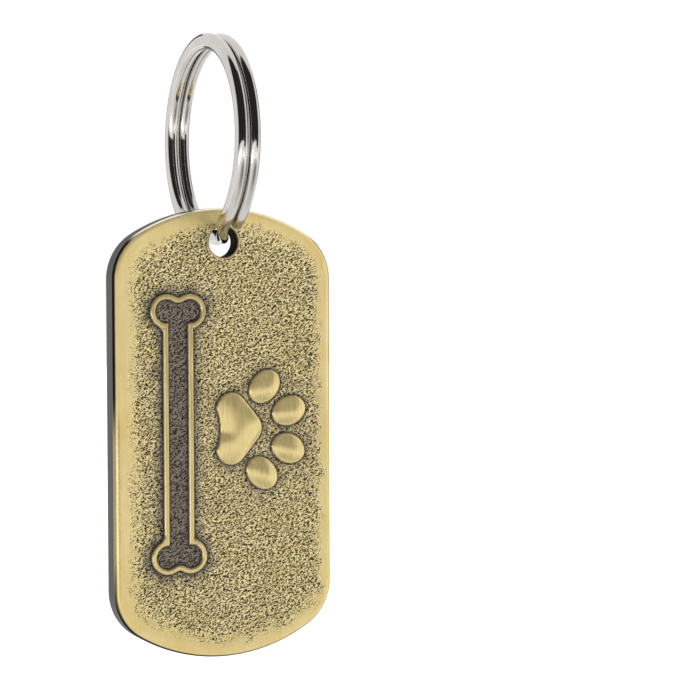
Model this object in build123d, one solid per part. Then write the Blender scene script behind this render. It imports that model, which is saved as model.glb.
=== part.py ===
from build123d import *
import math
import os

import numpy as np

# A pet ID tag: one brass-finished plate with a raised paw print, hanging on a split ring.
# Millimetres, +Z up, the front of the tag faces -Y. The origin is the middle of the ring's eye.

# Tag plate
tag_length = 50.0
tag_width = 25.8
tag_thickness = 3.0
end_radius = 19.2
shoulder_radius = 5.9
front_edge_round = 0.7
back_edge_round = 0.5
rim_land = 0.5
front_slope_width = 1.8
back_slope_width = 1.2
front_dish_depth = 0.2
back_dish_depth = 0.25

# Hanging hole
hole_diameter = 3.4
hole_inset = 3.75
hole_lip = 0.25

# Split ring: flat wire, two turns side by side, with one step from turn to turn in front of the tag.
# Angles are counted from the ring's bottom towards the front.
ring_outer_diameter = 23.4
wire_height = 1.8
wire_width = 1.1
wire_corner_round = 0.35
turn_gap = 0.42
step_start = 6.0
step_stop = 31.0
tail_stop = 330.0

# How the tag hangs on the turn that passes through its hole
hang_clearance = 0.3
hang_side_play = 0.2

# Paw print, lying on its side with the toes towards +X
relief_root = 0.3
toe_length = 4.3
toe_width = 3.4
toe_height = 0.55
toe_round = 0.4
toe_places = [(4.75, 5.1, 45), (7.7, 2.3, 20), (7.6, -1.95, -25), (4.4, -4.6, -45)]
pad_place = (0.75, 0.5)
pad_lobe_radius = 1.85
pad_lobe_spread = 4.5
pad_nose_radius = 1.85
pad_nose_reach = 1.85
pad_notch_depth = 0.45
pad_height = 0.55
pad_round = 0.4

# Bone ornament, a raised line beside the paw
bone_place = (-5.5, 0.1)
bone_length = 31.0
bone_knob_radius = 1.95
bone_knob_spread = 2.7
bone_shaft_width = 3.6
bone_neck_radius = 1.2
bone_notch_radius = 0.6
bone_line_width = 0.7
bone_line_height = 0.35

# Shape helpers
cutter_overshoot = 0.3
step_sections = 13
gap_sample_angle = 1.0

# Places that follow from the sizes
hole_radius = hole_diameter / 2
ring_outer_radius = ring_outer_diameter / 2
ring_inner_radius = ring_outer_radius - wire_height
wire_radius = ring_inner_radius + wire_height / 2
turn_offset = (wire_width + turn_gap) / 2
right_arc = 360 + step_start - step_stop
step_arc = step_stop - step_start
left_arc = tail_stop - step_stop
hole_x = turn_offset + hang_side_play
hole_z = hang_clearance - ring_inner_radius - hole_radius
tag_z = hole_z + hole_inset - tag_length / 2
front_y = -tag_thickness / 2
back_y = tag_thickness / 2
front_field_y = front_y + front_dish_depth
back_field_y = back_y - back_dish_depth


def face_plane(y):
    """A plane parallel to the tag at depth y, centred on the tag, with its normal to the front."""
    return Plane(origin=(hole_x, y, tag_z), x_dir=(1, 0, 0), z_dir=(0, -1, 0))


def arc(center, radius, start, stop):
    """A circular arc between two angles in degrees."""
    return CenterArc(center, radius, start, stop - start)


def tag_outline(inset):
    """The tag's outline drawn in by inset: straight sides, round shoulders and shallow round ends."""
    half_width = tag_width / 2 - inset
    half_length = tag_length / 2 - inset
    end_r = end_radius - inset
    shoulder_r = shoulder_radius - inset
    shoulder_x = half_width - shoulder_r
    rise = math.sqrt((end_r - shoulder_r) ** 2 - shoulder_x**2)
    end_z = half_length - end_r
    shoulder_z = end_z + rise
    lean = math.degrees(math.atan2(rise, shoulder_x))
    edges = [
        Line((half_width, -shoulder_z), (half_width, shoulder_z)),
        arc((shoulder_x, shoulder_z), shoulder_r, 0, lean),
        arc((0, end_z), end_r, lean, 180 - lean),
        arc((-shoulder_x, shoulder_z), shoulder_r, 180 - lean, 180),
        Line((-half_width, shoulder_z), (-half_width, -shoulder_z)),
        arc((-shoulder_x, -shoulder_z), shoulder_r, 180, 180 + lean),
        arc((0, -end_z), end_r, 180 + lean, 360 - lean),
        arc((shoulder_x, -shoulder_z), shoulder_r, 360 - lean, 360),
    ]
    return make_face(edges)


def dish_cutter(rim_y, field_y, edge_round, slope_width):
    """The hollow of one face, from the rim's land down its slope to the field."""
    land = edge_round + rim_land
    depth = abs(rim_y - field_y)
    outward = math.copysign(cutter_overshoot, rim_y)
    spread = slope_width * cutter_overshoot / depth
    mouth = face_plane(rim_y + outward) * tag_outline(land - spread)
    field = face_plane(field_y) * tag_outline(land + slope_width)
    return loft([mouth, field], ruled=True)


def hole_cutter():
    """The hanging hole with a bevelled lip on both faces, turned about its own axis."""
    front_out = front_y - cutter_overshoot
    back_out = back_y + cutter_overshoot
    front_lip = front_field_y + hole_lip
    back_lip = back_field_y - hole_lip
    profile = Polyline(
        (hole_x, front_out, hole_z),
        (hole_x + hole_radius + front_lip - front_out, front_out, hole_z),
        (hole_x + hole_radius, front_lip, hole_z),
        (hole_x + hole_radius, back_lip, hole_z),
        (hole_x + hole_radius + back_out - back_lip, back_out, hole_z),
        (hole_x, back_out, hole_z),
        close=True,
    )
    return revolve(make_face(profile), Axis((hole_x, 0, hole_z), (0, 1, 0)))


def raised(sketch, height, edge_round):
    """A sketch raised from the front field, rooted in the plate, with a rounded top."""
    body = extrude(face_plane(front_field_y + relief_root) * sketch, relief_root + height)
    if edge_round == 0:
        return body
    top = body.faces().sort_by(Axis.Y)[0]
    return fillet(top.edges(), edge_round)


def toe_sketch(x, z, tilt):
    return Pos(x, z) * Rot(0, 0, tilt) * Ellipse(toe_length / 2, toe_width / 2)


def pad_sketch():
    """The paw's main pad: two lobes to the left, a blunt nose to the right and a notch between the lobes."""
    lobe_z = pad_lobe_spread / 2
    reach = math.hypot(pad_nose_reach, lobe_z)
    heading = math.degrees(math.atan2(lobe_z, pad_nose_reach))
    flare = math.degrees(math.asin((pad_lobe_radius - pad_nose_radius) / reach))
    side = 90 - heading + flare
    tip = math.radians(side)

    def rim_point(x, z, radius, sign):
        return (x + radius * math.cos(tip), z + sign * radius * math.sin(tip))

    lobe_back = pad_lobe_radius
    edges = [
        arc((0, lobe_z), pad_lobe_radius, side, 180),
        ThreePointArc((-lobe_back, lobe_z), (pad_notch_depth - lobe_back, 0), (-lobe_back, -lobe_z)),
        arc((0, -lobe_z), pad_lobe_radius, 180, 360 - side),
        Line(
            rim_point(0, -lobe_z, pad_lobe_radius, -1),
            rim_point(pad_nose_reach, 0, pad_nose_radius, -1),
        ),
        arc((pad_nose_reach, 0), pad_nose_radius, -side, side),
        Line(
            rim_point(pad_nose_reach, 0, pad_nose_radius, 1),
            rim_point(0, lobe_z, pad_lobe_radius, 1),
        ),
    ]
    return Pos(*pad_place) * make_face(edges)


def bone_face(inset):
    """A bone drawn in by inset: a straight shaft with two round knobs and a notch at each end."""
    shaft_x = bone_shaft_width / 2
    knob_x = bone_knob_spread / 2
    knob_z = bone_length / 2 - bone_knob_radius
    neck_x = shaft_x + bone_neck_radius
    to_neck = bone_knob_radius + bone_neck_radius
    neck_z = knob_z - math.sqrt(to_neck**2 - (neck_x - knob_x) ** 2)
    to_notch = bone_knob_radius + bone_notch_radius
    notch_z = knob_z + math.sqrt(to_notch**2 - knob_x**2)
    neck_angle = math.degrees(math.atan2(neck_z - knob_z, neck_x - knob_x))
    notch_angle = math.degrees(math.atan2(notch_z - knob_z, -knob_x))
    quarter = Curve() + [
        Line((shaft_x - inset, 0), (shaft_x - inset, neck_z)),
        arc((neck_x, neck_z), bone_neck_radius + inset, 180, 180 + neck_angle),
        arc((knob_x, knob_z), bone_knob_radius - inset, neck_angle, notch_angle),
        arc((0, notch_z), bone_notch_radius + inset, notch_angle - 180, -90),
    ]
    half = quarter + mirror(quarter, Plane.XZ)
    return make_face((half + mirror(half, Plane.YZ)).edges())


def bone_sketch():
    """The bone's raised line, between the outline and the outline drawn in by the line's width."""
    return Pos(*bone_place) * (bone_face(0) - bone_face(bone_line_width))


def tag_plate():
    blank = extrude(face_plane(back_y) * tag_outline(0), tag_thickness)
    front_face = blank.faces().sort_by(Axis.Y)[0]
    blank = fillet(front_face.edges(), front_edge_round)
    back_face = blank.faces().sort_by(Axis.Y)[-1]
    blank = fillet(back_face.edges(), back_edge_round)
    blank -= dish_cutter(front_y, front_field_y, front_edge_round, front_slope_width)
    blank -= dish_cutter(back_y, back_field_y, back_edge_round, back_slope_width)

    plate = blank - hole_cutter()
    for x, z, tilt in toe_places:
        plate += raised(toe_sketch(x, z, tilt), toe_height, toe_round)
    plate += raised(pad_sketch(), pad_height, pad_round)
    plate += raised(bone_sketch(), bone_line_height, 0)
    return plate


def wire_section(angle, x):
    """The wire's section at an angle from the ring's bottom, counted towards the front."""
    turn = math.radians(angle)
    normal = (0, math.cos(turn), -math.sin(turn))
    plane = Plane(origin=(0, 0, 0), x_dir=(1, 0, 0), z_dir=normal)
    profile = RectangleRounded(wire_width, wire_height, wire_corner_round)
    return plane * Pos(x, wire_radius) * profile


def step_x(angle):
    """Where the wire's middle lies as it steps from the +X turn in the hole to the -X turn above it."""
    return turn_offset * math.cos(math.pi * (angle - step_start) / step_arc)


def split_ring():
    """From its cut end in front, the wire runs round to the hole, steps aside and runs round again."""
    around = Axis((0, 0, 0), (-1, 0, 0))
    right_turn = revolve(wire_section(step_stop, turn_offset), around, right_arc)
    left_turn = revolve(wire_section(step_stop, -turn_offset), around, left_arc)
    angles = np.linspace(step_start, step_stop, step_sections)
    step = loft([wire_section(a, step_x(a)) for a in angles])
    return right_turn + step + left_turn


def least_turn_gap():
    """The least distance between points on the wire that lie over half a turn apart along it."""
    travel = np.arange(0, right_arc + step_arc + left_arc, gap_sample_angle)
    turn = np.radians(step_stop + travel)
    x = np.where(travel < right_arc, turn_offset, -turn_offset)
    stepping = (travel >= right_arc) & (travel <= right_arc + step_arc)
    x[stepping] = [step_x(step_start + t - right_arc) for t in travel[stepping]]
    half_height = wire_height / 2 - wire_corner_round
    points = []
    for side in (-wire_width / 2, wire_width / 2):
        for rise in (-half_height, 0, half_height):
            radius = wire_radius + rise
            points.append(np.c_[x + side, -radius * np.sin(turn), -radius * np.cos(turn)])
    marks = np.tile(travel, len(points))
    points = np.concatenate(points)
    least = math.inf
    for point, mark in zip(points, marks):
        away = np.abs(marks - mark) > 180
        least = min(least, np.linalg.norm(points[away] - point, axis=1).min(initial=math.inf))
    return least


parts = {"tag_plate": tag_plate(), "split_ring": split_ring()}

os.makedirs("parts", exist_ok=True)
for name, part in parts.items():
    export_step(part, f"parts/{name}.step")
    size = part.bounding_box().size
    print(name, "solids", len(part.solids()), "volume", round(part.volume, 2), "size", size)

wire_path = math.radians(right_arc + step_arc + left_arc) * wire_radius
print("split ring: section times length", round(wire_section(0, 0).area * wire_path, 2), "mm3")
print("split ring: least gap between turns", round(least_turn_gap(), 3), "mm")
print("tag swings about y through x", round(hole_x, 3), "and z", round(hole_z, 3))
print("middle of the tag at z", round(tag_z, 3))
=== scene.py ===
import math

import bpy
import numpy as np
from mathutils import Matrix, Vector
from mathutils.geometry import delaunay_2d_cdt


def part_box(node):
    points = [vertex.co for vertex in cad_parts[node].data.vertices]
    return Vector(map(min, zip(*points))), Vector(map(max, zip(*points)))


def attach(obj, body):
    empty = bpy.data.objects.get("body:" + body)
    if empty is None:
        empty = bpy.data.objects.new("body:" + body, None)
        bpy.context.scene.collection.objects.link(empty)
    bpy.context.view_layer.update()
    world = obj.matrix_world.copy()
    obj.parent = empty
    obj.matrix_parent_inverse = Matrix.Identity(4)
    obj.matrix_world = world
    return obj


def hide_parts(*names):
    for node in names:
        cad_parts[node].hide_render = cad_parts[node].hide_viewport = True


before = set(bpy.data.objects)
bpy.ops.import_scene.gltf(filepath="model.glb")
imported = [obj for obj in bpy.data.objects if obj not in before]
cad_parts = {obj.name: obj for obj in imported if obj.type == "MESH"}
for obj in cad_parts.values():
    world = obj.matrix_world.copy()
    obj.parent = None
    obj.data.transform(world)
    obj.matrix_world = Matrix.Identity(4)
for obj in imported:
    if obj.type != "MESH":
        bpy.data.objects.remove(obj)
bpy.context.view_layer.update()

# The looks of a pet ID tag on its split ring: an antiqued brass plate with a sand-cast field, a raised paw
# and bone, a brushed back, and a bright nickel ring of flat wire. Sizes are in millimetres until a mesh is
# made. On the tag, u runs to the right of its front and v runs up, both from its middle. A pair of values
# that is named as a fade or a blend says where it starts and where it is complete.
MM = 0.001

# Tag plate
tag_low, tag_high = (np.array(corner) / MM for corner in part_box("tag_plate"))
tag_x, tag_z = (tag_low + tag_high)[[0, 2]] / 2
half_width, half_length = (tag_high - tag_low)[[0, 2]] / 2
tag_thickness = 3.0
back_y = tag_high[1]
front_y = back_y - tag_thickness
end_radius = 19.2
shoulder_radius = 5.9
front_edge_round = 0.7
back_edge_round = 0.5
rim_land = 0.5
front_slope_width = 1.8
front_slope_blend = 0.3
front_dish_depth = 0.2
back_slope_width = 1.2
back_slope_blend = 0.2
back_dish_depth = 0.25

# Finish of the rounded edges, by degrees from the side wall at 0 to the face at 90
wall_fade = (2, 10)
edge_fade = (35, 55)
polish_start_fade = (45, 58)
polish_stop_fade = (75, 90)

# The front edge gets a painted highlight where it faces up and painted shade elsewhere, and is worn along a
# stretch of v
highlight_facing_fade = (0.68, 0.88)
worn_top_fade = (5.0, -1.0)
worn_bottom_fade = (-21.0, -12.0)
worn_shade_loss = 0.65

# Hanging hole
hole_radius = 1.7
hole_inset = 3.75
hole_lip_round = 0.3
hole_mouth = hole_radius + hole_lip_round
hole_v = half_length - hole_inset

# Paw print, lying on its side; each toe has its u, its v and its tilt in degrees
paw_height = 0.54
toe_places = [(4.75, 5.1, 45), (7.7, 2.3, 20), (7.6, -1.95, -25), (4.4, -4.6, -45)]
toe_half_length = 2.15
toe_half_width = 1.7
toe_wall = 0.13
toe_crown_power = 0.8
pad_place = (0.75, 0.5)
pad_radius = 1.85
pad_lobe_spread = 4.5
pad_nose_reach = 1.85
pad_notch_depth = 0.45
pad_wall = 0.22
pad_crown_width = 2.0
pad_crown_round = 0.45
pad_crest_rise = 0.9
pad_valley_depth = 0.2
pad_valley_drop = 0.35
pad_valley_upper = 1.4
pad_valley_lower = 0.7
pad_valley_fade = (1.0, -1.5)

# Bone, drawn as a raised line
bone_place = (-5.5, 0.1)
bone_length = 31.0
bone_knob_radius = 1.95
bone_knob_spread = 2.7
bone_shaft_width = 3.6
bone_neck_radius = 1.2
bone_notch_radius = 0.6
bone_line_width = 0.7
bone_line_height = 0.35
bone_line_power = 0.8

# Foot of the raised forms, measured inwards from their outlines
relief_start = -0.01
relief_foot = 0.14
brushed_start = 0.03
field_fade = (0.02, -0.06)

# Sand-cast field of the front
stipple_seed = 11
pit_spacing = 0.24
pit_length = 0.17
pit_width = 0.105
pit_lean = 26.0
pit_depth = 0.08
pit_strengths = (0.35, 1.0)
pit_levels = (-0.9, 1.7)
pit_rub = 1.9
speck_length = 0.2
speck_width = 0.115
grain_wave = 0.32
grain_spread = 0.4
grain_height = 0.018
drift_wave = 3.5
drift_spread = 0.5
least_pitch = 1e-6

# Rubbing of the field towards the rim: how far inside the outline the texture starts and is full
rub_start = 0.75
rub_start_left = 0.25
rub_start_drift = 0.2
rub_full_right = 2.4
rub_full_left = 3.7
rub_full_ends = 0.9
rub_full_drift = 0.3
rub_left_fade = (1.0, -half_width)
rub_ends_fade = (half_length - 8.0, half_length - 2.0)

# Dark patina round the raised forms, and round and inside the bone's line
halo_reach = 0.75
halo_power = 1.5
halo_share = 0.62
line_halo_reach = 0.85
line_halo_power = 1.6
halo_drift = 0.2
bone_fill_fade = (bone_line_width - 0.05, bone_line_width + 0.1)
# Painted shadow: a dark line along the foot of the raised forms
foot_shadow_reach = 0.13

# Back: a darker band along the foot of its slope, part antiquing residue and part painted shade of the slope,
# and engraved rules
residue_and_shade_side = 1.7
residue_and_shade_end = 2.5
residue_and_shade_end_fade = (half_length - 9.0, half_length - 3.0)
residue_and_shade_width = 1.1
residue_and_shade_drift = 0.3
rule_places = [-6.75, -2.25, 2.25, 6.75]
rule_length = 30.0
rule_width = 0.4
rule_depth = 0.07
rule_side_blend = (rule_width / 2 + 0.02, rule_width / 2 - 0.08)
rule_end_blend = (rule_length / 2 + 0.05, rule_length / 2 - 0.1)

# Split ring, with places along the wire in degrees from the bottom of the ring
ring_low, ring_high = (np.array(corner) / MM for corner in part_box("split_ring"))
ring_outer_radius = (ring_high - ring_low)[2] / 2
ring_width = (ring_high - ring_low)[0]
turn_gap = 0.2
turn_width = (ring_width - turn_gap) / 2
wire_height = 1.8
wire_corner_round = 0.52
wire_crown = 0.06
step_start = 6.0
step_stop = 31.0
tail_stop = 330.0
cut_end_scale = 0.9
cut_end_radians = 0.006

# Mesh density
field_cell = 0.115
field_margin = 0.06
back_cell = 0.5
back_margin = 0.15
outline_step = 0.3
rim_band = 1.5
front_rim_rings = 9
back_rim_rings = 7
front_edge_turns = (80, 70, 60, 50, 40, 30, 20, 10, 0)
back_edge_turns = (0, 10, 25, 40, 55, 72)
wall_ring_shares = (0.33, 0.67)
hole_points = 96
hole_lip_turns = (22, 45, 68, 90)
rule_columns = (-0.24, -0.17, -0.1, 0, 0.1, 0.17, 0.24)
rule_column_room = 0.15
rule_rows = (-0.12, -0.03, 0.06)
rule_row_room = 0.2
ring_step = 1.5
wire_corner_points = 8
slope_step = 0.01
least_slope = 0.3
least_toe_slope = 0.2
snap_share = 0.46
hairline = 1e-6
join_tolerance = 1e-9


def smooth(low, high, value):
    """An even S from 0 at low to 1 at high, which may lie below low."""
    t = np.clip((value - low) / (high - low), 0, 1)
    return t * t * (3 - 2 * t)


# Outline of the tag
shoulder_u = half_width - shoulder_radius
end_v = half_length - end_radius
shoulder_rise = math.sqrt((end_radius - shoulder_radius) ** 2 - shoulder_u**2)
shoulder_v = end_v + shoulder_rise
lean = math.atan2(shoulder_rise, shoulder_u)


def outline():
    """Points round the tag's outline, counter-clockwise seen from the front, with their outward normals."""
    count = round(2 * shoulder_v / outline_step)
    side = np.linspace(-shoulder_v, shoulder_v, count, endpoint=False)
    points = [np.c_[np.full(count, half_width), side]]
    normals = [np.c_[np.ones(count), np.zeros(count)]]
    arcs = [
        (shoulder_radius, (shoulder_u, shoulder_v), 0, lean),
        (end_radius, (0, end_v), lean, math.pi - lean),
        (shoulder_radius, (-shoulder_u, shoulder_v), math.pi - lean, math.pi),
    ]
    for radius, center, start, stop in arcs:
        count = round(radius * (stop - start) / outline_step)
        angle = np.linspace(start, stop, count, endpoint=False)
        normal = np.c_[np.cos(angle), np.sin(angle)]
        points.append(np.array(center) + radius * normal)
        normals.append(normal)
    # The other half is the first one turned by half a turn
    points, normals = np.concatenate(points), np.concatenate(normals)
    return np.concatenate([points, -points]), np.concatenate([normals, -normals])


def edge_distance(u, v):
    """How far a point lies inside the tag's outline."""
    u, v = np.abs(u), np.abs(v)
    side = half_width - u
    end = end_radius - np.hypot(u, np.maximum(v - end_v, 0))
    shoulder = shoulder_radius - np.hypot(u - shoulder_u, v - shoulder_v)
    in_shoulder = (v > shoulder_v) & (u > shoulder_u)
    in_shoulder &= np.arctan2(v - end_v, u) < lean
    return np.where(in_shoulder, shoulder, np.minimum(side, end))


# Raised forms: a function named inside gives how far a point lies inside the form, negative outside
def toe_inside(place, u, v):
    """How far inside one toe, and a square that grows from 0 in its middle to 1 on its outline."""
    toe_u, toe_v, tilt = place
    c, s = math.cos(math.radians(tilt)), math.sin(math.radians(tilt))
    p = c * (u - toe_u) + s * (v - toe_v)
    q = c * (v - toe_v) - s * (u - toe_u)
    square = (p / toe_half_length) ** 2 + (q / toe_half_width) ** 2
    slope = np.hypot(p / toe_half_length**2, q / toe_half_width**2)
    return (1 - square) / (2 * np.maximum(slope, least_toe_slope)), square


def segment_distance(u, v, a, b):
    """How far a point lies from the line between two others."""
    along = np.array(b) - np.array(a)
    t = ((u - a[0]) * along[0] + (v - a[1]) * along[1]) / (along @ along)
    t = np.clip(t, 0, 1)
    return np.hypot(u - a[0] - t * along[0], v - a[1] - t * along[1])


def pad_inside(u, v):
    """Three round corners drawn together, with a shallow notch on the left."""
    u = u - pad_place[0]
    v = v - pad_place[1]
    lobe = pad_lobe_spread / 2
    corners = [(0, lobe), (0, -lobe), (pad_nose_reach, 0)]
    reach = np.inf
    within = np.ones(np.shape(u), bool)
    for a, b in zip(corners, corners[1:] + corners[:1]):
        reach = np.minimum(reach, segment_distance(u, v, a, b))
        within &= (b[0] - a[0]) * (v - a[1]) - (b[1] - a[1]) * (u - a[0]) >= 0
    hull = pad_radius - np.where(within, -reach, reach)
    notch_radius = (lobe**2 + pad_notch_depth**2) / (2 * pad_notch_depth)
    notch_u = pad_notch_depth - pad_radius - notch_radius
    return np.minimum(hull, np.hypot(u - notch_u, v) - notch_radius)


def pad_crown(u, v):
    """How far a point lies inside the pad, with the ridges where two sides are as near rounded off."""
    lobe = pad_lobe_spread / 2
    u = u - pad_place[0]
    v = v - pad_place[1]
    v = np.abs(v - pad_crest_rise * np.clip(1 - (v / (lobe + pad_radius)) ** 2, 0, 1))
    slant = math.hypot(pad_nose_reach, lobe)
    sides = [
        pad_radius + u,
        pad_radius + (lobe * (pad_nose_reach - u) - pad_nose_reach * v) / slant,
        pad_radius + (lobe * (pad_nose_reach - u) + pad_nose_reach * v) / slant,
        pad_radius + lobe - v,
    ]
    return -pad_crown_round * np.log(sum(np.exp(-side / pad_crown_round) for side in sides))


def pad_dome(u, v):
    """Height of the pad's crowned top, with a valley on its left."""
    crown = 1 - (1 - np.clip(pad_crown(u, v) / pad_crown_width, 0, 1)) ** 2
    below = pad_place[1] - pad_valley_drop - v
    valley = np.exp(-((below / np.where(below > 0, pad_valley_lower, pad_valley_upper)) ** 2))
    valley *= smooth(*pad_valley_fade, u - pad_place[0])
    return pad_wall + (paw_height - pad_wall) * crown - pad_valley_depth * valley


def bone_inside(u, v):
    """A shaft and two pairs of knobs, joined by round necks and notches."""
    u = np.abs(u - bone_place[0])
    v = np.abs(v - bone_place[1])
    shaft = bone_shaft_width / 2
    knob_u = bone_knob_spread / 2
    knob_v = bone_length / 2 - bone_knob_radius
    neck_u = shaft + bone_neck_radius
    neck_reach = bone_knob_radius + bone_neck_radius
    neck_v = knob_v - math.sqrt(neck_reach**2 - (neck_u - knob_u) ** 2)
    notch_reach = bone_knob_radius + bone_notch_radius
    notch_v = knob_v + math.sqrt(notch_reach**2 - knob_u**2)
    in_knob = bone_knob_radius - np.hypot(u - knob_u, v - knob_v)
    in_shaft = np.where(v < knob_v, shaft - u, -np.inf)
    inside = np.maximum(in_knob, in_shaft)
    # The neck fills the corner between shaft and knob, the notch the corner between two knobs
    by_neck = (u > shaft) & (v > neck_v)
    by_neck &= (knob_u - neck_u) * (v - neck_v) - (knob_v - neck_v) * (u - neck_u) > 0
    inside = np.where(by_neck, np.hypot(u - neck_u, v - neck_v) - bone_neck_radius, inside)
    by_notch = (v > knob_v) & (u * (notch_v - knob_v) < (notch_v - v) * knob_u)
    return np.where(by_notch, np.hypot(u, v - notch_v) - bone_notch_radius, inside)


def bone_line_inside(u, v):
    """How far a point lies inside the raised line of the bone."""
    inside = bone_inside(u, v)
    return np.minimum(inside, bone_line_width - inside)


def front_relief(u, v):
    """Height of the raised forms at a point, and how far it lies inside them."""
    inside = bone_line_inside(u, v)
    height = bone_line_height * smooth(0, relief_foot, inside) ** bone_line_power
    for place in toe_places:
        depth, square = toe_inside(place, u, v)
        crown = np.clip(1 - square, 0, 1) ** toe_crown_power
        dome = toe_wall + (paw_height - toe_wall) * crown
        height = np.maximum(height, dome * smooth(relief_start, relief_foot, depth))
        inside = np.maximum(inside, depth)
    depth = pad_inside(u, v)
    height = np.maximum(height, pad_dome(u, v) * smooth(relief_start, relief_foot, depth))
    return height, np.maximum(inside, depth)


# Seeded noise on the field's grid
grid_u = np.arange(-half_width, half_width + field_cell / 2, field_cell)
grid_v = np.arange(-half_length, half_length + field_cell / 2, field_cell)
grid_shape = (len(grid_u), len(grid_v))
pitch_u = np.fft.fftfreq(grid_shape[0], field_cell)[:, None]
pitch_v = np.fft.rfftfreq(grid_shape[1], field_cell)[None, :]
random = np.random.default_rng(stipple_seed)


def band_noise(wave, spread):
    """Noise of about one wavelength on the grid, with a standard deviation of 1."""
    spectrum = np.fft.rfft2(random.standard_normal(grid_shape))
    pitch = np.maximum(np.hypot(pitch_u, pitch_v) * wave, least_pitch)
    spectrum *= np.exp(-(np.log(pitch) ** 2) / (2 * spread**2))
    noise = np.fft.irfft2(spectrum, s=grid_shape)
    return noise / noise.std()


def pit_noise():
    """Small oval pits, one in each cell of a loose grid, with a standard deviation of 1."""
    cells = (int(2 * half_width / pit_spacing), int(2 * half_length / pit_spacing))
    step = pit_spacing / field_cell
    iu = ((np.arange(cells[0])[:, None] + random.random(cells)) * step).astype(int)
    iv = ((np.arange(cells[1])[None, :] + random.random(cells)) * step).astype(int)
    dots = np.zeros(grid_shape)
    np.add.at(dots, (iu, iv), random.uniform(*pit_strengths, cells))
    turn = math.radians(pit_lean)
    along = pitch_u * math.cos(turn) + pitch_v * math.sin(turn)
    across = pitch_v * math.cos(turn) - pitch_u * math.sin(turn)
    # A soft oval, whose width at half its depth is the pit's
    sharpness = (math.pi / 2) ** 2 / math.log(2)
    oval = np.exp(-sharpness * ((pit_length * along) ** 2 + (pit_width * across) ** 2))
    noise = np.fft.irfft2(np.fft.rfft2(dots) * oval, s=grid_shape)
    return (noise - noise.mean()) / noise.std()


pits = pit_noise()
grain = band_noise(grain_wave, grain_spread)
drift_noise = band_noise(drift_wave, drift_spread)


def on_grid(noise, u, v):
    """Noise read between the grid's points."""
    gu = np.clip((u + half_width) / field_cell, 0, len(grid_u) - 1.001)
    gv = np.clip((v + half_length) / field_cell, 0, len(grid_v) - 1.001)
    iu, iv = gu.astype(int), gv.astype(int)
    fu, fv = gu - iu, gv - iv
    low = noise[iu, iv] * (1 - fu) + noise[iu + 1, iv] * fu
    high = noise[iu, iv + 1] * (1 - fu) + noise[iu + 1, iv + 1] * fu
    return low * (1 - fv) + high * fv


# Skins of the plate
MASKS = ["pit", "halo", "foot", "rub", "raised", "edge", "wall", "painted_shade", "polish", "rule", "smudge", "gold"]


def cast_share(u, v, d, drift):
    """How much cast texture is left: it is rubbed away towards the rim, most of all on the left."""
    leftward = smooth(*rub_left_fade, u)
    endward = smooth(*rub_ends_fade, np.abs(v))
    start = rub_start + rub_start_left * leftward + rub_start_drift * drift
    full = rub_full_right + (rub_full_left - rub_full_right) * leftward + rub_full_ends * endward
    return smooth(start, full + rub_full_drift * drift, d)


def patina(u, v, outside, drift):
    """How much dark patina lies on the field, for a point that is so far outside the raised forms."""
    halo = np.exp(-((outside / (halo_reach + halo_drift * drift)) ** halo_power))
    off_line = np.maximum(-bone_line_inside(u, v), 0)
    near_line = np.exp(-((off_line / (line_halo_reach + halo_drift * drift)) ** line_halo_power))
    in_bone = smooth(*bone_fill_fade, bone_inside(u, v))
    return np.maximum(halo_share * halo, np.maximum(near_line, in_bone))


def front_skin(u, v):
    """Depth y of the front at a point, with the masks that its finish follows."""
    d = edge_distance(u, v)
    drift = on_grid(drift_noise, u, v)
    height, raised = front_relief(u, v)
    cast = cast_share(u, v, d, drift)
    on_field = smooth(*field_fade, raised)
    pit = smooth(*pit_levels, on_grid(pits, u, v) - pit_rub * (1 - cast)) * on_field
    rough = on_grid(grain, u, v) * cast * on_field
    land = front_edge_round + rim_land
    foot = land + front_slope_width
    y = front_y + front_dish_depth * smooth(land - front_slope_blend, foot + front_slope_blend, d)
    y = y - height + pit_depth * pit - grain_height * rough

    outside = np.maximum(-raised, 0)
    brushed = smooth(brushed_start, relief_foot, raised)
    masks = {
        "pit": pit,
        "halo": patina(u, v, outside, drift) * (1 - brushed),
        # A painted shadow along the foot of the raised forms
        "foot": np.exp(-((outside / foot_shadow_reach) ** 2)) * (1 - brushed),
        "rub": np.maximum(brushed, 1 - cast),
        "raised": brushed,
    }
    return y, masks


def back_skin(u, v):
    """Depth y of the back at a point, with its masks."""
    d = edge_distance(u, v)
    drift = on_grid(drift_noise, u, v)
    land = back_edge_round + rim_land
    foot = land + back_slope_width
    y = back_y - back_dish_depth * smooth(land - back_slope_blend, foot + back_slope_blend, d)
    across = np.min([np.abs(u - place) for place in rule_places], axis=0)
    groove = smooth(*rule_side_blend, across) * smooth(*rule_end_blend, np.abs(v))
    # A darker band along the slope's foot: antiquing residue and painted shade of the slope
    reach = residue_and_shade_side + (residue_and_shade_end - residue_and_shade_side) * smooth(*residue_and_shade_end_fade, np.abs(v))
    beyond = np.exp(-(((d - reach) / (residue_and_shade_width + residue_and_shade_drift * drift)) ** 2))
    smudge = np.where(d < reach, smooth(land, reach, d), beyond)
    masks = {"rub": 1.0, "raised": 1.0, "rule": groove, "smudge": smudge, "gold": 1.0}
    return y - rule_depth * groove, masks


def edge_masks(turn, painted_highlight, worn):
    """Masks on a rounded edge, turned from 0 degrees at the side wall to 90 at the face.

    The edge is bright metal, lightened as a painted highlight, where it faces up, and painted shade
    elsewhere. Where it is worn, the painted shade is fainter and the brass beside it shines.
    """
    wall = 1 - smooth(*wall_fade, turn)
    edge = (1 - smooth(*edge_fade, turn)) * (1 - wall)
    painted_shade = edge * (1 - painted_highlight) * (1 - worn_shade_loss * worn)
    polish = (smooth(*polish_start_fade, turn) - smooth(*polish_stop_fade, turn)) * worn
    return {"wall": wall, "edge": edge * painted_highlight, "painted_shade": painted_shade, "polish": polish, "rub": 1.0}


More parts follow.
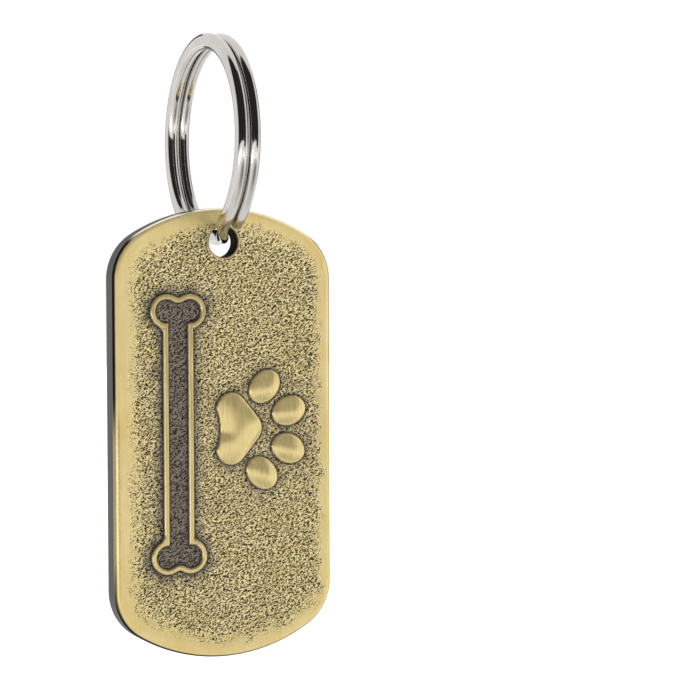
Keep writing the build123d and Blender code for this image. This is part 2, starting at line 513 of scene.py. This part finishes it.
# Mesh building
class Skin:
    """Vertices with masks, and the faces between them."""

    def __init__(self):
        self.points = []
        self.masks = {name: [] for name in MASKS}
        self.faces = []
        self.count = 0

    def add(self, u, v, y, masks):
        """Adds vertices and returns the number of the first."""
        first = self.count
        self.points.append(np.c_[u + tag_x, np.broadcast_to(y, np.shape(u)), v + tag_z])
        for name in MASKS:
            value = masks.get(name, 0.0)
            self.masks[name].append(np.broadcast_to(value, np.shape(u)))
        self.count += len(u)
        return first

    def bands(self, rings, count, flip=False):
        """Joins closed rings of vertices, each to the next, with quads."""
        i = np.arange(count)
        j = (i + 1) % count
        for first, second in zip(rings, rings[1:]):
            quads = np.c_[first + i, second + i, second + j, first + j]
            self.faces += (quads[:, ::-1] if flip else quads).tolist()

    def mesh(self, name):
        mesh = bpy.data.meshes.new(name)
        mesh.from_pydata((np.concatenate(self.points) * MM).tolist(), [], self.faces)
        for mask, values in self.masks.items():
            layer = mesh.attributes.new(mask, "FLOAT", "POINT")
            layer.data.foreach_set("value", np.concatenate(values).astype(np.float32))
        mesh.shade_smooth()
        mesh.validate()
        return mesh


def snap_to_forms(u, v):
    """Moves grid points that lie beside a raised form's foot or shoulder onto it, so its edge runs true."""
    forms = [lambda a, b, place=place: toe_inside(place, a, b)[0] for place in toe_places]
    forms += [pad_inside, bone_inside, lambda a, b: bone_line_width - bone_inside(a, b)]
    for form in forms:
        inside = form(u, v)
        slope_u = (form(u + slope_step, v) - form(u - slope_step, v)) / (2 * slope_step)
        slope_v = (form(u, v + slope_step) - form(u, v - slope_step)) / (2 * slope_step)
        size = np.maximum(np.hypot(slope_u, slope_v), least_slope)
        for level in (0, relief_foot):
            off = (inside - level) / size
            near = np.abs(off) < snap_share * field_cell
            u = np.where(near, u - off * slope_u / size, u)
            v = np.where(near, v - off * slope_v / size, v)
    return u, v


def join(skin, verts, links, numbers, on_cells, flip):
    """Triangles in the gap between a grid's border and the rings of the rim and the hole."""
    triangles = np.array(delaunay_2d_cdt(verts, links, [], 0, join_tolerance)[2])
    corners = np.array([vert[:] for vert in verts])[triangles]
    u, v = corners.mean(1).T
    # The hole's ring is a polygon, whose sides lie a little inside its circle
    hole_reach = hole_mouth * math.cos(math.pi / hole_points)
    wanted = edge_distance(u, v) > rim_band - hairline
    wanted &= np.hypot(u, v - hole_v) > hole_reach - hairline
    wanted &= ~on_cells(u, v)
    side = corners - corners[:, :1]
    area = side[:, 1, 0] * side[:, 2, 1] - side[:, 1, 1] * side[:, 2, 0]
    for triangle, turn in zip(triangles[wanted], area[wanted]):
        face = [numbers[k] for k in triangle]
        skin.faces.append(face[::-1] if (turn < 0) != flip else face)


def fill(skin, us, vs, skin_at, rings, margin, flip, move=None):
    """A grid of quads inside the rim's ring and round the hole's ring, joined to both with triangles."""
    gu, gv = np.meshgrid(us, vs, indexing="ij")
    kept = edge_distance(gu, gv) > rim_band + margin
    kept &= np.hypot(gu, gv - hole_v) > hole_mouth + margin
    cells = kept[:-1, :-1] & kept[1:, :-1] & kept[1:, 1:] & kept[:-1, 1:]
    used = np.zeros_like(kept)
    for du in (0, 1):
        for dv in (0, 1):
            used[du : du + cells.shape[0], dv : dv + cells.shape[1]] |= cells
    number = np.full(kept.shape, -1)
    number[used] = np.arange(used.sum())
    u, v = gu[used], gv[used]
    moved = move(u, v) if move else (u, v)
    first = skin.add(*moved, *skin_at(*moved))
    a, b = number[:-1, :-1][cells], number[1:, :-1][cells]
    c, d = number[1:, 1:][cells], number[:-1, 1:][cells]
    quads = first + np.c_[a, b, c, d]
    skin.faces += (quads[:, ::-1] if flip else quads).tolist()

    # The grid's own border: edges that only one cell uses
    edges = np.concatenate([np.c_[a, b], np.c_[b, c], np.c_[c, d], np.c_[d, a]])
    keys = np.sort(edges, axis=1)
    _, index, uses = np.unique(keys, axis=0, return_index=True, return_counts=True)
    border = edges[index[uses == 1]]
    border_points = np.unique(border)
    place = {int(n): k for k, n in enumerate(border_points)}
    verts = [Vector((u[n], v[n])) for n in border_points]
    links = [(place[int(p)], place[int(q)]) for p, q in border]
    numbers = [first + int(n) for n in border_points]
    for ring_first, ring in rings:
        start = len(verts)
        count = len(ring)
        verts += [Vector(p) for p in ring]
        links += [(start + k, start + (k + 1) % count) for k in range(count)]
        numbers += [ring_first + k for k in range(count)]

    def on_cells(at_u, at_v):
        iu = np.searchsorted(us, at_u) - 1
        iv = np.searchsorted(vs, at_v) - 1
        in_grid = (iu >= 0) & (iv >= 0) & (iu < cells.shape[0]) & (iv < cells.shape[1])
        covered = np.zeros(len(at_u), bool)
        covered[in_grid] = cells[iu[in_grid], iv[in_grid]]
        return covered

    join(skin, verts, links, numbers, on_cells, flip)


def rim_rings(skin, points, normals):
    """Rings from the front field over the rim, down the side and onto the back."""
    def inset_by(inset):
        return (points - inset * normals).T

    rings = []
    for inset in np.linspace(rim_band, front_edge_round, front_rim_rings):
        u, v = inset_by(inset)
        rings.append(skin.add(u, v, *front_skin(u, v)))
    # The edge gets a painted highlight where it faces up and painted shade elsewhere
    painted_highlight = smooth(*highlight_facing_fade, normals[:, 1])
    worn = smooth(*worn_top_fade, points[:, 1]) * smooth(*worn_bottom_fade, points[:, 1])
    for turn in front_edge_turns:
        u, v = inset_by(front_edge_round * (1 - math.cos(math.radians(turn))))
        y = front_y + front_edge_round * (1 - math.sin(math.radians(turn)))
        rings.append(skin.add(u, v, y, edge_masks(turn, painted_highlight, worn)))
    wall_front = front_y + front_edge_round
    wall_back = back_y - back_edge_round
    for share in wall_ring_shares:
        y = wall_front + share * (wall_back - wall_front)
        rings.append(skin.add(*points.T, y, {"wall": 1.0, "rub": 1.0}))
    for turn in back_edge_turns:
        u, v = inset_by(back_edge_round * (1 - math.cos(math.radians(turn))))
        y = back_y - back_edge_round * (1 - math.sin(math.radians(turn)))
        rings.append(skin.add(u, v, y, edge_masks(turn, 1.0, 0.0)))
    for inset in np.linspace(back_edge_round, rim_band, back_rim_rings):
        u, v = inset_by(inset)
        rings.append(skin.add(u, v, *back_skin(u, v)))
    return rings


def hole_rings(skin, spokes):
    """Rings from the front down through the hole to the back, over its rounded lips."""
    def at_radius(radius):
        return (spokes * radius + (0, hole_v)).T

    u, v = at_radius(hole_mouth)
    front_edge, front_masks = front_skin(u, v)
    back_edge, back_masks = back_skin(u, v)
    lip_turns = np.radians(hole_lip_turns)
    rings = [skin.add(u, v, front_edge, front_masks)]
    for edge, inward, turns in ((front_edge, 1, lip_turns), (back_edge, -1, lip_turns[::-1])):
        for turn in turns:
            drop = hole_lip_round * (1 - math.cos(turn))
            lip = at_radius(hole_mouth - hole_lip_round * math.sin(turn))
            # Painted shade darkens the bore, most of all on its wall
            masks = {"painted_shade": math.sin(turn) ** 2, "rub": 1.0}
            rings.append(skin.add(*lip, edge + inward * drop, masks))
    rings.append(skin.add(u, v, back_edge, back_masks))
    return rings


def with_finer(coarse, finer, room):
    """Coarse grid lines, with finer ones in place of those that lie too near to them."""
    apart = np.min(np.abs(coarse[:, None] - np.array(finer)[None, :]), axis=1)
    return np.sort(np.concatenate([coarse[apart > room], finer]))


def tag_mesh():
    """The whole plate as one closed skin."""
    skin = Skin()
    points, normals = outline()
    rim = rim_rings(skin, points, normals)
    skin.bands(rim, len(points))
    angle = np.linspace(0, 2 * math.pi, hole_points, endpoint=False)
    spokes = np.c_[np.cos(angle), np.sin(angle)]
    hole = hole_rings(skin, spokes)
    skin.bands(hole, hole_points, flip=True)

    inner_rim = points - rim_band * normals
    mouth = spokes * hole_mouth + (0, hole_v)
    front = [(rim[0], inner_rim), (hole[0], mouth)]
    fill(skin, grid_u, grid_v, front_skin, front, field_margin, False, snap_to_forms)

    finer = [place + k for place in rule_places for k in rule_columns]
    columns = with_finer(np.arange(-half_width, half_width, back_cell), finer, rule_column_room)
    finer = [end * (rule_length / 2 + k) for end in (-1, 1) for k in rule_rows]
    rows = with_finer(np.arange(-half_length, half_length, back_cell), finer, rule_row_room)
    back = [(rim[-1], inner_rim), (hole[-1], mouth)]
    fill(skin, columns, rows, back_skin, back, back_margin, True)
    return skin.mesh("tag_plate_skin")


def wire_profile():
    """The flat wire's section: a crowned rectangle with round corners, as (across, outwards) points."""
    half_across = turn_width / 2
    corner_across = half_across - wire_corner_round
    corner_out = wire_height / 2 - wire_crown - wire_corner_round
    turn = np.radians(np.linspace(0, 90, wire_corner_points))
    reach = wire_corner_round * np.c_[np.cos(turn), np.sin(turn)]
    corner = np.array([corner_across, corner_out]) + reach
    top = corner_out + wire_corner_round
    quarter = np.concatenate([corner, [[corner_across / 2, top], [0.0, top]]])
    quarter[:, 1] += wire_crown * (1 - (quarter[:, 0] / half_across) ** 2)
    upper = np.concatenate([quarter, quarter[-2::-1] * (-1, 1)])
    return np.concatenate([upper, upper[::-1] * (1, -1)])


def ring_mesh():
    """Two turns of flat wire, with the step between them in front of the tag's hole."""
    profile = wire_profile()
    wire_radius = ring_outer_radius - wire_height / 2
    travel_end = 360 + tail_stop - step_stop
    travel = np.linspace(0, travel_end, round(travel_end / ring_step) + 1)
    step_at = 360 + step_start - step_stop
    share = np.clip((travel - step_at) / (step_stop - step_start), 0, 1)
    lane = (turn_width + turn_gap) / 2 * np.cos(math.pi * share)
    turn = np.radians(step_stop + travel)
    # The first and last sections are drawn in a little, which rounds the cut ends
    after_start, before_stop = turn[:1] + cut_end_radians, turn[-1:] - cut_end_radians
    turn = np.concatenate([turn[:1], after_start, turn[1:-1], before_stop, turn[-1:]])
    lane = np.concatenate([lane[:1], lane, lane[-1:]])
    scale = np.ones(len(turn))
    scale[[0, -1]] = cut_end_scale
    verts = []
    for a, x, k in zip(turn, lane, scale):
        across, out = (profile * k).T
        radius = wire_radius + out
        verts.append(np.c_[x + across, -radius * math.sin(a), -radius * math.cos(a)])
    count = len(profile)
    last = (len(turn) - 1) * count
    faces = []
    for start in range(0, last, count):
        for i in range(count):
            j = (i + 1) % count
            faces.append([start + i, start + j, start + count + j, start + count + i])
    faces.append(list(range(count))[::-1])
    faces.append([last + i for i in range(count)])
    mesh = bpy.data.meshes.new("split_ring_wire")
    mesh.from_pydata((np.concatenate(verts) * MM).tolist(), [], faces)
    mesh.shade_smooth()
    mesh.validate()
    return mesh


# Material building
def linear(red, green, blue):
    """A colour given as sRGB 0 to 255, for a shader."""
    def one(value):
        value /= 255
        return value / 12.92 if value <= 0.04045 else ((value + 0.055) / 1.055) ** 2.4
    return (one(red), one(green), one(blue), 1.0)


class Nodes:
    """Short names for building a node tree."""

    def __init__(self, tree):
        self.tree = tree
        tree.nodes.clear()

    def node(self, kind, inputs=(), **settings):
        made = self.tree.nodes.new(kind)
        for name, value in settings.items():
            setattr(made, name, value)
        for socket, value in dict(inputs).items():
            if isinstance(value, bpy.types.NodeSocket):
                self.tree.links.new(value, made.inputs[socket])
            else:
                made.inputs[socket].default_value = value
        return made

    def math(self, operation, a, b):
        return self.node("ShaderNodeMath", {0: a, 1: b}, operation=operation).outputs[0]

    def plus(self, a, b):
        return self.math("ADD", a, b)

    def minus(self, a, b):
        return self.math("SUBTRACT", a, b)

    def times(self, a, b):
        return self.math("MULTIPLY", a, b)

    def most(self, a, b):
        return self.math("MAXIMUM", a, b)

    def ramp(self, value, span, out=(0.0, 1.0)):
        """An even S from one value of out to the other, while the value goes over its span."""
        inputs = {0: value, 1: span[0], 2: span[1], 3: out[0], 4: out[1]}
        return self.node("ShaderNodeMapRange", inputs, interpolation_type="SMOOTHSTEP").outputs[0]

    def mix(self, factor, a, b):
        return self.node("ShaderNodeMix", {0: factor, 6: a, 7: b}, data_type="RGBA").outputs[2]

    def between(self, value, span, colors):
        """A colour that goes from the first to the second while a value goes over its span."""
        return self.mix(self.ramp(value, span), linear(*colors[0]), linear(*colors[1]))

    def cover(self, tone, mask, color, share=1.0):
        """A tone that is covered by a colour where a mask says, up to a share."""
        return self.mix(self.times(mask, share), tone, linear(*color))

    def dot(self, a, b):
        return self.node("ShaderNodeVectorMath", {0: a, 1: b}, operation="DOT_PRODUCT").outputs["Value"]

    def distance(self, a, b):
        return self.node("ShaderNodeVectorMath", {0: a, 1: b}, operation="DISTANCE").outputs["Value"]

    def place(self):
        return self.node("ShaderNodeTexCoord").outputs["Object"]

    def mask(self, name):
        return self.node("ShaderNodeAttribute", attribute_name=name).outputs["Fac"]

    def noise(self, place, scale, detail=3.0, stretch=(1, 1, 1)):
        moved = self.node("ShaderNodeMapping", {"Vector": place, "Scale": stretch}).outputs[0]
        return self.node("ShaderNodeTexNoise", {"Vector": moved, "Scale": scale, "Detail": detail}).outputs[0]

    def bump(self, height, strength, depth):
        inputs = {"Height": height, "Strength": strength, "Distance": depth * MM}
        return self.node("ShaderNodeBump", inputs).outputs[0]

    def surface(self, inputs):
        shader = self.node("ShaderNodeBsdfPrincipled", inputs)
        self.node("ShaderNodeOutputMaterial", {"Surface": shader.outputs[0]})


def new_material(name):
    material = bpy.data.materials.new(name)
    material.use_nodes = True
    return material, Nodes(material.node_tree)


# Antique brass: colours as sRGB, and what the noises and masks do to them
brushed_colors = [(198, 177, 118), (219, 201, 144)]
worn_colors = [(218, 198, 140), (210, 184, 118)]
back_colors = [(192, 166, 96), (212, 188, 120)]
ridge_colors = [(224, 208, 154), (232, 218, 166)]
patina_colors = [(118, 110, 104), (56, 50, 48)]
field_color = (158, 140, 94)
pit_color = (25, 19, 10)
# Painted shadow at the foot of the raised forms
foot_shadow_color = (22, 19, 15)
# Darker band on the back: antiquing residue and painted shade of its slope
residue_and_shade_color = (150, 126, 72)
# Worn edge, lightened as a painted highlight
worn_edge_and_highlight_color = (232, 222, 196)
wall_color = (90, 89, 85)
# Painted shade on the front edge where it does not face up, and in the hole's bore
painted_shade_color = (24, 23, 20)
rule_color = (112, 82, 42)
streak_scale = 1000.0
streak_detail = 4.0
streak_stretch = (9.0, 9.0, 0.22)
streak_span = (0.3, 0.72)
cloud_scale = 260.0
cloud_span = (0.3, 0.7)
fine_scale = 9000.0
fine_detail = 2.0
speck_detail = 1.5
speck_middle = 0.5
speck_contrast = 3.6
pit_rise = 0.35
field_span = (-0.55, 0.05)
patina_span = (-0.5, 0.3)
hollow_span = (-0.02, 0.36)
cast_span = (0.0, 0.5)
worn_brushing = (0.35, 1.0)
residue_and_shade_span = (0.7, 1.3)
residue_and_shade_shares = (0.7, 0.4)
back_share = 0.85
patina_share = 0.9
hollow_share = 0.96
foot_shadow_share = 0.9
rule_share = 0.95

# Antique brass: gloss, metal and fine relief
streak_gloss_span = (0.25, 0.75)
streak_roughness = (0.3, 0.4)
dull_roughness = 0.3
hollow_dullness = 0.8
patina_dullness = 0.7
painted_shade_dullness = 1.6
edge_gloss = 0.22
brushed_gloss = 0.13
brushed_metal = (0.5, 0.68)
brushing_relief = (0.3, 1.0)
fine_relief = 0.35
speck_relief = 12.0
brass_bump_strength = 0.25
brass_bump_depth = 0.04
brass_anisotropy = 0.5
brass_anisotropy_turn = 0.25


def antique_brass():
    material, n = new_material("antique_brass_finish")
    place = n.place()
    masks = [n.mask(name) for name in MASKS]
    pit, halo, foot, rub, raised, edge, wall, painted_shade, polish, rule, smudge, gold = masks

    # Brushing runs along the tag; cloudy tone is broader; specks lean as the pits do and sharpen them
    streak = n.noise(place, streak_scale, streak_detail, streak_stretch)
    cloud = n.noise(place, cloud_scale)
    fine = n.noise(place, fine_scale, fine_detail)
    speck_size = np.array([speck_length, speck_width, speck_width]) * MM
    speck_axes = {"Vector": place, "Rotation": (0, math.radians(-pit_lean), 0), "Scale": speck_size}
    leaned = n.node("ShaderNodeMapping", speck_axes, vector_type="TEXTURE").outputs[0]
    speck = n.noise(leaned, 1.0, speck_detail)
    deep = n.times(n.minus(speck, speck_middle), speck_contrast)
    deep = n.plus(deep, n.minus(pit, pit_rise))
    on_cast = n.minus(1.0, rub)
    hollow = n.times(n.ramp(deep, hollow_span), n.ramp(on_cast, cast_span))

    brushed = n.between(streak, streak_span, brushed_colors)
    worn = n.between(cloud, cloud_span, worn_colors)
    tone = n.mix(n.ramp(raised, (0.0, 1.0), worn_brushing), worn, brushed)
    tone = n.mix(n.times(gold, back_share), tone, n.between(streak, streak_span, back_colors))
    # A darker band along the back's slope: antiquing residue and painted shade
    smudge = n.times(smudge, n.ramp(n.plus(streak, cloud), residue_and_shade_span, residue_and_shade_shares))
    tone = n.cover(tone, smudge, residue_and_shade_color)
    ridge = n.between(cloud, cloud_span, ridge_colors)
    field = n.cover(ridge, n.ramp(deep, field_span), field_color)
    tone = n.mix(rub, field, tone)
    # The worn edge, lightened as a painted highlight
    tone = n.cover(tone, edge, worn_edge_and_highlight_color)
    tone = n.mix(n.times(halo, patina_share), tone, n.between(deep, patina_span, patina_colors))
    tone = n.cover(tone, hollow, pit_color, hollow_share)
    # A painted shadow along the foot of the raised forms
    tone = n.cover(tone, foot, foot_shadow_color, foot_shadow_share)
    tone = n.cover(tone, wall, wall_color)
    # Painted shade on the front edge where it does not face up, and in the hole's bore
    tone = n.cover(tone, painted_shade, painted_shade_color)
    tone = n.cover(tone, rule, rule_color, rule_share)

    dull = n.most(n.times(hollow, hollow_dullness), n.times(halo, patina_dullness))
    dull = n.most(dull, n.most(rule, wall))
    dull = n.most(dull, n.times(painted_shade, painted_shade_dullness))
    rough = n.ramp(streak, streak_gloss_span, streak_roughness)
    rough = n.plus(rough, n.times(dull, dull_roughness))
    rough = n.minus(rough, n.times(edge, edge_gloss))
    rough = n.minus(rough, n.times(n.most(raised, polish), brushed_gloss))
    bare = n.most(n.most(edge, painted_shade), polish)
    metal = n.ramp(raised, (0.0, 1.0), brushed_metal)
    metal = n.ramp(bare, (0.0, 1.0), (metal, 1.0))

    height = n.times(streak, n.ramp(raised, (0.0, 1.0), brushing_relief))
    height = n.plus(height, n.times(fine, fine_relief))
    height = n.minus(height, n.times(n.times(speck, on_cast), speck_relief))
    n.surface({
        "Base Color": tone,
        "Metallic": metal,
        "Roughness": rough,
        "Normal": n.bump(height, brass_bump_strength, brass_bump_depth),
        "Anisotropic": brass_anisotropy,
        "Anisotropic Rotation": brass_anisotropy_turn,
        "Tangent": n.node("ShaderNodeTangent", direction_type="RADIAL", axis="Z").outputs[0],
    })
    return material


# Bright nickel
nickel_colors = [(194, 191, 186), (202, 199, 194)]
nickel_cloud_scale = 400.0
nickel_fine_scale = 5000.0
nickel_roughness = (0.06, 0.11)
nickel_bump_strength = 0.06
nickel_bump_depth = 0.03


def bright_nickel():
    material, n = new_material("bright_nickel_finish")
    place = n.place()
    cloud = n.noise(place, nickel_cloud_scale)
    fine = n.noise(place, nickel_fine_scale)
    n.surface({
        "Base Color": n.between(cloud, cloud_span, nickel_colors),
        "Metallic": 1.0,
        "Roughness": n.ramp(cloud, cloud_span, nickel_roughness),
        "Normal": n.bump(fine, nickel_bump_strength, nickel_bump_depth),
    })
    return material


def add_piece(name, mesh, material, body, node):
    piece = bpy.data.objects.new(name, mesh)
    bpy.context.scene.collection.objects.link(piece)
    mesh.materials.append(material)
    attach(piece, body)
    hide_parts(node)


add_piece("tag", tag_mesh(), antique_brass(), "tag", "tag_plate")
add_piece("ring", ring_mesh(), bright_nickel(), "ring", "split_ring")

# Studio, in metres: a white floor and backdrop, a half dark world, cards for the reflections and soft lights
floor_drop = 0.1
floor_z = tag_low[2] * MM - floor_drop
floor_radius = 2.58
floor_points = 96
floor_shade = 0.4
backdrop_radius = 2.6
backdrop_rows = 16
backdrop_columns = 48
card_distance = 0.66
card_shade = 0.01
front_card_lift = 0.05
floor_card_azimuth = 20.0
floor_card_distance = 0.23
floor_card_radius = 0.19
floor_card_lift = 0.002
matt_roughness = 0.9
middle = Vector((tag_x, 0, tag_z)) * MM

# Glow of the floor and of the card on it, as (distance from the middle, strength)
floor_glows = [(0.12, 0.6), (0.55, 0.85), (1.3, 1.05)]
floor_card_glows = [(0.03, 0.35), (floor_card_radius, 0.95)]

# World: dark round one azimuth, up to an edge on the right that leans
bright_side = 1.05
dark_side = 0.03
dark_azimuth = -25.0
dark_right_edge = 40.0
dark_right_lean = 16.0
dark_blend = (-0.06, 0.06)


def matt(name, shade, glows, center=(0, 0, 0)):
    """A matt grey that glows white, by the distance from a center."""
    material, n = new_material(name)
    reach = n.distance(n.place(), center)
    strength = glows[0][1]
    for (near, _), (far, glow) in zip(glows, glows[1:]):
        strength = n.ramp(reach, (near, far), (strength, glow))
    n.surface({
        "Base Color": (shade, shade, shade, 1),
        "Roughness": matt_roughness,
        "Emission Color": (1, 1, 1, 1),
        "Emission Strength": strength,
    })
    return material


def add_sheet(name, verts, faces, material):
    """A piece of the studio."""
    mesh = bpy.data.meshes.new(name)
    mesh.from_pydata(verts, [], faces)
    mesh.materials.append(material)
    sheet = bpy.data.objects.new(name, mesh)
    bpy.context.scene.collection.objects.link(sheet)
    return sheet


def add_disc(name, center, radius, shade, glows):
    """A round sheet that lies on the floor."""
    x, y, z = center
    turns = np.linspace(0, 2 * math.pi, floor_points, endpoint=False)
    rim = [(x + radius * math.cos(a), y + radius * math.sin(a), z) for a in turns]
    material = matt(name + "_surface", shade, glows, center)
    return add_sheet(name, rim, [list(range(floor_points))], material)


def add_backdrop():
    """A white dome that only the camera sees."""
    verts, faces = [], []
    for row in range(backdrop_rows + 1):
        rise = math.pi * (row / backdrop_rows - 0.5)
        flat = math.cos(rise) * backdrop_radius
        for column in range(backdrop_columns):
            turn = 2 * math.pi * column / backdrop_columns
            verts.append((flat * math.cos(turn), flat * math.sin(turn), math.sin(rise) * backdrop_radius))
    for row in range(backdrop_rows):
        for column in range(backdrop_columns):
            a = row * backdrop_columns + column
            b = row * backdrop_columns + (column + 1) % backdrop_columns
            faces.append([a, a + backdrop_columns, b + backdrop_columns, b])
    dome = add_sheet("backdrop", verts, faces, matt("backdrop_surface", 0.0, [(0, 1.0)]))
    dome.visible_diffuse = False
    dome.visible_glossy = False
    dome.visible_transmission = False
    dome.visible_shadow = False


def around(azimuth, reach, height):
    """A place round the upright through the origin; azimuth 0 is straight in front and grows to the right."""
    a = math.radians(azimuth)
    return (math.sin(a) * reach, -math.cos(a) * reach, height)


def only_in_reflections(sheet):
    sheet.visible_camera = False
    sheet.visible_diffuse = False
    sheet.visible_shadow = False


def add_card(name, left, right, low, high):
    """A black card that stands between two azimuths and only shows in reflections."""
    ends = [(left, low), (right, low), (right, high), (left, high)]
    corners = [around(azimuth, card_distance, z) for azimuth, z in ends]
    material = matt(name + "_surface", card_shade, [(0, 0.0)])
    only_in_reflections(add_sheet(name, corners, [[0, 1, 2, 3]], material))


def add_world():
    """Dark in front, from the left round to an edge on the right, and bright elsewhere."""
    world = bpy.data.worlds.new("studio")
    bpy.context.scene.world = world
    world.use_nodes = True
    n = Nodes(world.node_tree)
    look = n.node("ShaderNodeTexCoord").outputs["Generated"]
    ahead = n.dot(look, around(dark_azimuth, 1, 0))
    right = math.radians(dark_right_edge)
    edge_rise = math.tan(math.radians(dark_right_lean))
    short_of_right = n.dot(look, (-math.cos(right), -math.sin(right), edge_rise))
    within = n.math("MINIMUM", ahead, short_of_right)
    strength = n.ramp(within, dark_blend, (bright_side, dark_side))
    shade = n.node("ShaderNodeBackground", {"Color": (1, 1, 1, 1), "Strength": strength})
    n.node("ShaderNodeOutputWorld", {"Surface": shade.outputs[0]})


def direction(azimuth, elevation):
    """A unit step away from the tag; azimuth 0 is straight in front and grows to the right."""
    e = math.radians(elevation)
    return Vector(around(azimuth, math.cos(e), math.sin(e)))


def add_softbox(name, azimuth, elevation, distance, width, height, radiance, in_reflections=False):
    """An area light aimed at the tag."""
    light = bpy.data.lights.new(name, "AREA")
    light.shape = "RECTANGLE"
    light.size = width
    light.size_y = height
    light.energy = radiance * math.pi * width * height
    away = direction(azimuth, elevation)
    lamp = bpy.data.objects.new(name, light)
    lamp.location = middle + away * distance
    lamp.rotation_mode = "QUATERNION"
    lamp.rotation_quaternion = away.to_track_quat("Z", "Y")
    lamp.visible_glossy = in_reflections
    bpy.context.scene.collection.objects.link(lamp)


add_disc("floor", (0, 0, floor_z), floor_radius, floor_shade, floor_glows)
add_backdrop()
add_card("front_card", left=12, right=40, low=floor_z + front_card_lift, high=0.8)
add_card("right_card", left=100, right=122, low=floor_z, high=0.3)
add_card("back_card", left=170, right=192, low=floor_z, high=0.3)
floor_card_place = around(floor_card_azimuth, floor_card_distance, floor_z + floor_card_lift)
floor_card = add_disc("floor_card", floor_card_place, floor_card_radius, card_shade, floor_card_glows)
only_in_reflections(floor_card)
add_world()
add_softbox("key", azimuth=12, elevation=25, distance=0.6, width=0.4, height=0.4, radiance=7.15)
add_softbox("back_key", azimuth=150, elevation=40, distance=0.6, width=0.4, height=0.4, radiance=2.0)
add_softbox(
    "edge_light", azimuth=-64, elevation=-9.5, distance=0.5, width=0.36, height=0.05, radiance=6.0,
    in_reflections=True,
)

# Camera, fitted to the photograph's outline of the tag; turns in degrees from a camera that faces the middle
view_azimuth = -21.5
view_elevation = 4.8
view_distance = 0.23
turn_right = 3.62
turn_up = 2.27
roll = -0.47
focal_pixels = 2054.0
frame_pixels = 700
sensor_width = 36.0
clip_start = 0.01
clip_end = 10.0


def turned(first, second, degrees):
    """Two square directions, turned so that the first goes towards the second."""
    c, s = math.cos(math.radians(degrees)), math.sin(math.radians(degrees))
    return first * c + second * s, second * c - first * s


def add_camera():
    data = bpy.data.cameras.new("camera")
    data.sensor_width = sensor_width
    data.lens = sensor_width * focal_pixels / frame_pixels
    data.clip_start = clip_start
    data.clip_end = clip_end
    away = direction(view_azimuth, view_elevation)
    aim = -away
    right = aim.cross(Vector((0, 0, 1))).normalized()
    up = right.cross(aim)
    aim, right = turned(aim, right, turn_right)
    aim, up = turned(aim, up, turn_up)
    right, up = turned(right, up, roll)
    camera = bpy.data.objects.new("camera", data)
    axes = Matrix((right, up, -aim)).transposed().to_4x4()
    camera.matrix_world = Matrix.Translation(middle + away * view_distance) @ axes
    bpy.context.scene.collection.objects.link(camera)
    bpy.context.scene.camera = camera


add_camera()
bpy.context.scene.view_settings.view_transform = "Standard"
